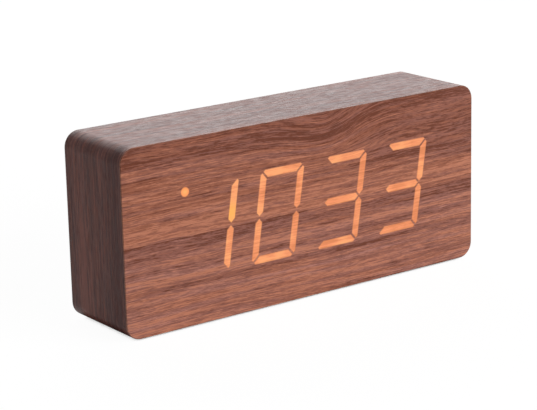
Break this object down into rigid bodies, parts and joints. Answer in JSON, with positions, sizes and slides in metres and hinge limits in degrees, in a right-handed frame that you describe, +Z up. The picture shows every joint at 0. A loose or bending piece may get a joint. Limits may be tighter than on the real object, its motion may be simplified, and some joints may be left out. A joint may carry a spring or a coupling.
{
  "type": "wooden digital alarm clock",
  "caption": "Box-shaped desk clock in wood veneer with rounded corners, amber digits that shine through the front, and buttons, power socket and battery door on a black rear cover.",
  "frame": {"origin": "middle of the underside of the feet, on the table top", "axes": "+X to the right of someone reading the clock, -Y out of the front, +Z up"},
  "size_m": [0.21, 0.048, 0.091],
  "materials": {
    "fibreboard": "raw medium-density fibreboard",
    "front_veneer": "satin reddish walnut veneer with level grain",
    "wrap_veneer": "satin reddish walnut veneer wrapped round the case",
    "lit_veneer": "veneer glowing amber from the light behind it",
    "foot_rubber": "matt black rubber",
    "diffuser_film": "milky film",
    "light_box_white": "matt white moulded plastic",
    "circuit_board": "green solder mask",
    "led_amber": "clear amber resin",
    "chip_black": "black epoxy",
    "screw_steel": "zinc-plated steel",
    "can_steel": "tin-plated steel",
    "capacitor_sleeve": "dark blue sleeve",
    "part_black": "black moulded plastic",
    "contact_metal": "nickel-plated spring steel",
    "button_black": "satin black plastic",
    "socket_white": "natural nylon",
    "ribbon_grey": "grey vinyl",
    "wire_red": "red vinyl",
    "wire_black": "black vinyl",
    "cover_black": "fine-textured black plastic",
    "cell_sleeve": "printed sleeve over a steel can"
  },
  "bodies": {
    "case": {"case_frame": "fibreboard", "front_board": "fibreboard", "front_veneer": "front_veneer", "wrap_veneer": "wrap_veneer", "rear_veneer": "wrap_veneer", "rubber_feet": "foot_rubber", "hour_tens_segments": "lit_veneer", "hour_units_segments": "lit_veneer", "minute_tens_segments": "lit_veneer", "minute_units_segments": "lit_veneer", "indicator_dot": "lit_veneer", "diffuser_sheet": "diffuser_film", "light_box": "light_box_white", "display_pcb": "circuit_board", "segment_leds": "led_amber", "led_drivers": "chip_black", "display_screws": "screw_steel", "main_pcb": "circuit_board", "main_pcb_screws": "screw_steel", "microcontroller": "chip_black", "crystal": "can_steel", "capacitors": "capacitor_sleeve", "voltage_regulator": "chip_black", "buzzer": "part_black", "microphone": "can_steel", "dc_jack": "part_black", "dc_jack_pin": "contact_metal", "switch_bases": "part_black", "switch_frames": "can_steel", "slide_switch_body": "can_steel", "ribbon_sockets": "socket_white", "ribbon_cable": "ribbon_grey", "battery_lead_red": "wire_red", "battery_lead_black": "wire_black", "rear_cover": "cover_black", "battery_tray": "cover_black", "cover_screws": "screw_steel", "battery_contacts": "contact_metal", "battery_springs": "contact_metal", "battery_cells": "cell_sleeve"},
    "set_key": {"set_button": "button_black", "set_plunger": "part_black"},
    "up_key": {"up_button": "button_black", "up_plunger": "part_black"},
    "down_key": {"down_button": "button_black", "down_plunger": "part_black"},
    "sound_switch": {"slide_switch_knob": "button_black"},
    "door": {"battery_door": "cover_black"}
  },
  "joints": [
    {"name": "set_press", "type": "slide", "parent": "case", "child": "set_key", "axis": [0, -1, 0], "range_m": [0, 0.0005], "stiffness_N_per_m": 2500},
    {"name": "up_press", "type": "slide", "parent": "case", "child": "up_key", "axis": [0, -1, 0], "range_m": [0, 0.0005], "stiffness_N_per_m": 2500},
    {"name": "down_press", "type": "slide", "parent": "case", "child": "down_key", "axis": [0, -1, 0], "range_m": [0, 0.0005], "stiffness_N_per_m": 2500},
    {"name": "sound_switch_slide", "type": "slide", "parent": "case", "child": "sound_switch", "axis": [1, 0, 0], "range_m": [0, 0.002]},
    {"name": "battery_door_swing", "type": "hinge", "parent": "case", "child": "door", "pos_m": [-0.046, 0.0219, 0.0681], "axis": [1, 0, 0], "range_deg": [0, 80]}
  ]
}
